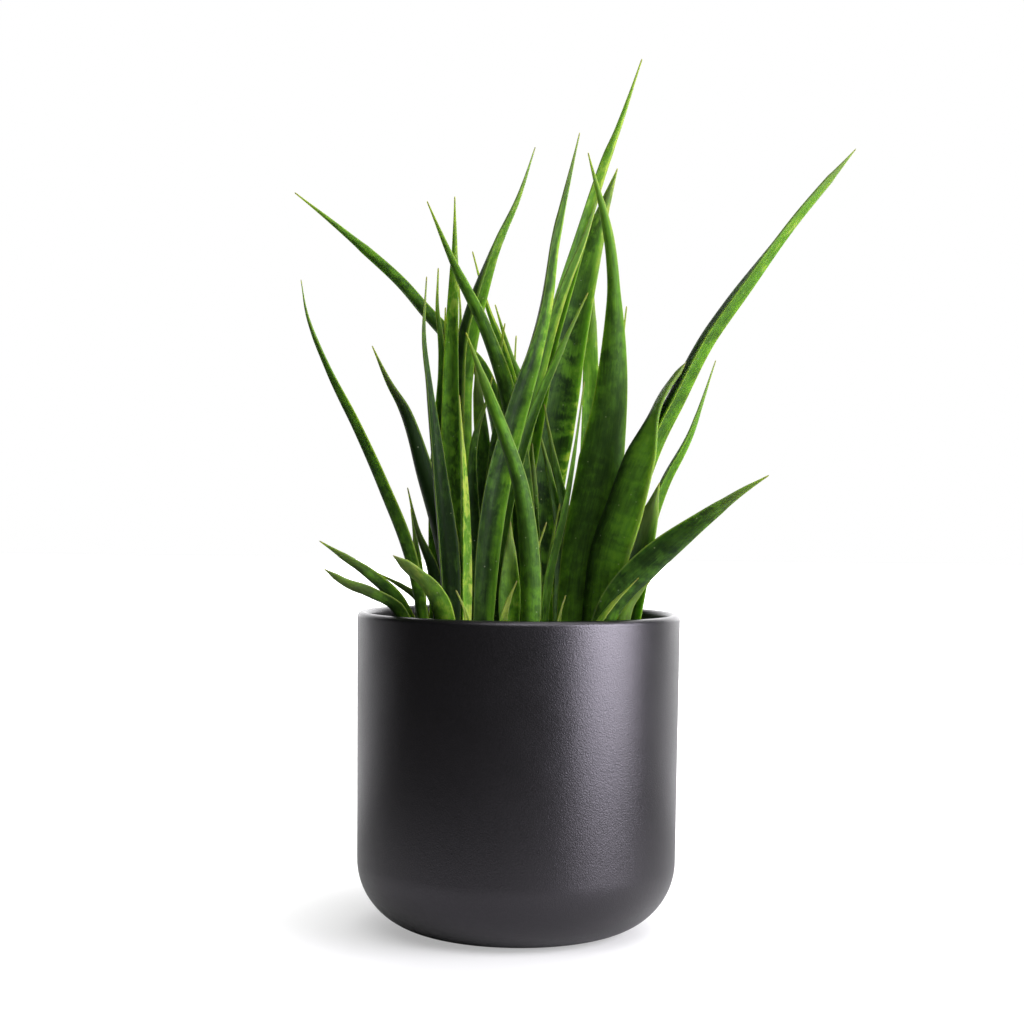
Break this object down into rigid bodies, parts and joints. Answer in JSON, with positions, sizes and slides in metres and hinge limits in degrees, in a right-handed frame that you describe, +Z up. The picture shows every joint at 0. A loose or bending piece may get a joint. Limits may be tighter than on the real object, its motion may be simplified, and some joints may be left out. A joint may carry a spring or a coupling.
{
  "type": "potted star sansevieria",
  "caption": "Star sansevieria: a clump of narrow, channelled, cross-banded leaves with awl tips, rooted in soil in a round charcoal ceramic pot with a rounded foot.",
  "frame": {"origin": "centre of the pot's flat foot, on the surface that it stands on", "axes": "+Z up along the pot's axis, -Y towards the front, +X to the right as seen from the front"},
  "size_m": [0.2413, 0.1504, 0.3801],
  "materials": {
    "ceramic": "satin, fine grain",
    "soil": "rough crumbs of bark and peat",
    "leaf": "waxy, cross-banded light and dark green"
  },
  "bodies": {
    "root": {"pot": "ceramic", "soil": "soil", "leaf_01": "leaf", "leaf_02": "leaf", "leaf_03": "leaf", "leaf_04": "leaf", "leaf_05": "leaf", "leaf_06": "leaf", "leaf_07": "leaf", "leaf_08": "leaf", "leaf_09": "leaf", "leaf_10": "leaf", "leaf_11": "leaf", "leaf_12": "leaf", "leaf_13": "leaf", "leaf_14": "leaf", "leaf_15": "leaf", "leaf_16": "leaf", "leaf_17": "leaf", "leaf_18": "leaf", "leaf_19": "leaf", "leaf_20": "leaf", "leaf_21": "leaf", "leaf_22": "leaf", "leaf_23": "leaf", "leaf_24": "leaf", "leaf_25": "leaf", "leaf_26": "leaf", "leaf_27": "leaf", "leaf_28": "leaf", "leaf_29": "leaf", "leaf_30": "leaf", "leaf_31": "leaf", "leaf_32": "leaf", "leaf_33": "leaf", "leaf_34": "leaf", "leaf_35": "leaf", "leaf_36": "leaf", "leaf_37": "leaf", "leaf_38": "leaf", "leaf_39": "leaf", "leaf_40": "leaf", "leaf_41": "leaf", "leaf_42": "leaf", "leaf_43": "leaf", "leaf_44": "leaf", "leaf_45": "leaf", "leaf_46": "leaf", "leaf_47": "leaf", "leaf_48": "leaf", "leaf_49": "leaf", "leaf_50": "leaf", "leaf_51": "leaf", "leaf_52": "leaf", "leaf_53": "leaf", "leaf_54": "leaf", "leaf_55": "leaf", "leaf_56": "leaf", "leaf_57": "leaf", "leaf_58": "leaf"}
  },
  "joints": []
}
